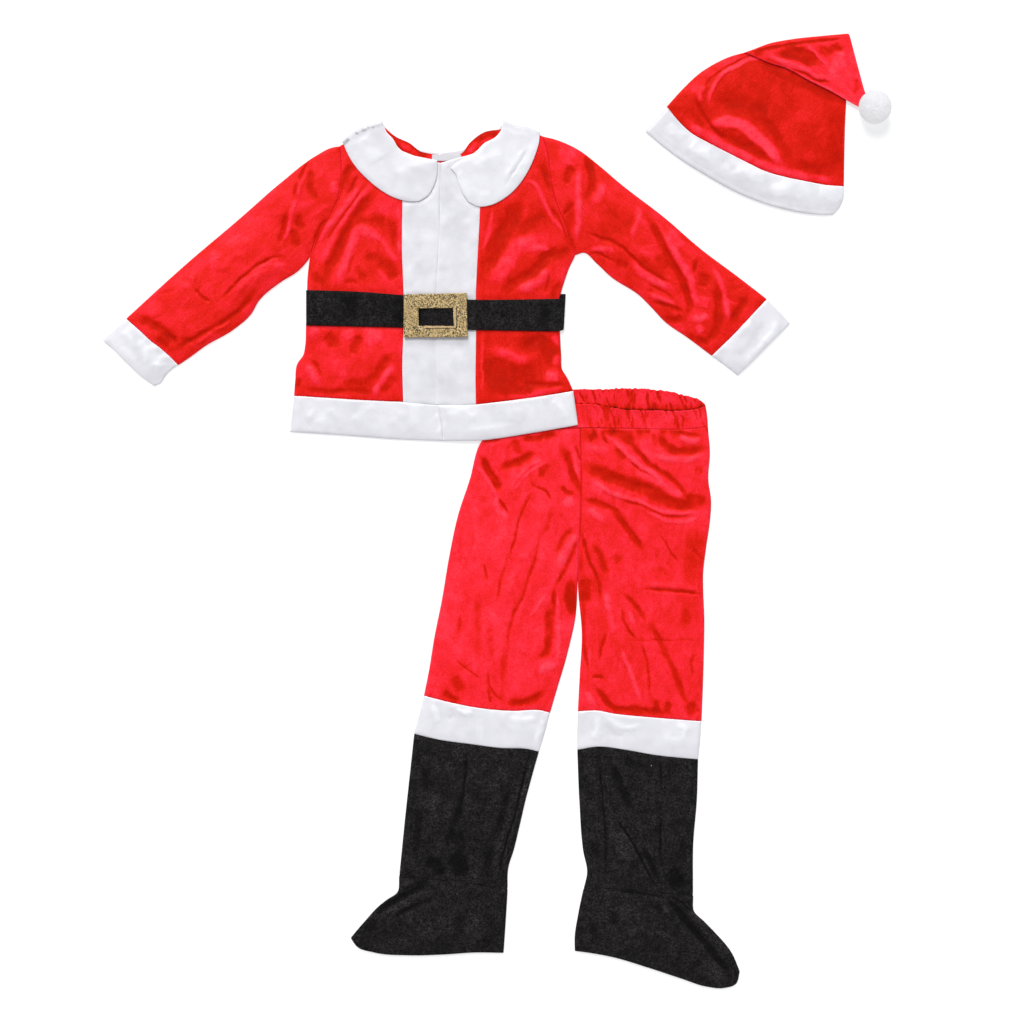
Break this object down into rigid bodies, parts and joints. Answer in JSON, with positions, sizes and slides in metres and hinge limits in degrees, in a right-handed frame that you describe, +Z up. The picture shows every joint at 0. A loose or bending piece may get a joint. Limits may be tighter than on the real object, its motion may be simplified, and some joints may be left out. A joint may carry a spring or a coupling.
{
  "type": "santa suit",
  "caption": "Child's Santa suit laid flat: red velour jacket with white satin trim and black belt, trousers with boot covers, and a hat with a pompom.",
  "frame": {"origin": "on the floor, under the middle of the whole laid-out suit", "axes": "+Z up from the floor the suit lies on; +Y from the boots towards the collar and the hat; +X towards the wearer's left and the hat"},
  "size_m": [0.9864, 1.1926, 0.041],
  "materials": {
    "red_velour": "short-pile panne velour with a strong sheen",
    "white_satin": "soft white satin",
    "black_felt": "matt black felt",
    "gold_foam": "foam sheet with a fine gold glitter face",
    "label_tape": "woven tape, blank",
    "pompom_fluff": "fluffy white yarn ball"
  },
  "bodies": {
    "root": {"jacket_back": "red_velour", "jacket_front_right": "red_velour", "jacket_front_left": "red_velour", "placket_right": "white_satin", "placket_left": "white_satin", "hem_band_back": "white_satin", "hem_band_front_right": "white_satin", "hem_band_front_left": "white_satin", "sleeve_right": "red_velour", "sleeve_left": "red_velour", "cuff_right": "white_satin", "cuff_left": "white_satin", "collar_right": "white_satin", "collar_left": "white_satin", "neck_label": "label_tape", "belt_strap": "black_felt", "belt_buckle": "gold_foam", "waistband_back": "red_velour", "waistband_front": "red_velour", "trouser_right_back": "red_velour", "trouser_right_front": "red_velour", "trouser_left_back": "red_velour", "trouser_left_front": "red_velour", "knee_band_right": "white_satin", "knee_band_left": "white_satin", "boot_shaft_right": "black_felt", "boot_shaft_left": "black_felt", "boot_foot_right": "black_felt", "boot_foot_left": "black_felt", "hat_back": "red_velour", "hat_front": "red_velour", "hat_brim": "white_satin", "hat_pompom": "pompom_fluff"}
  },
  "joints": []
}
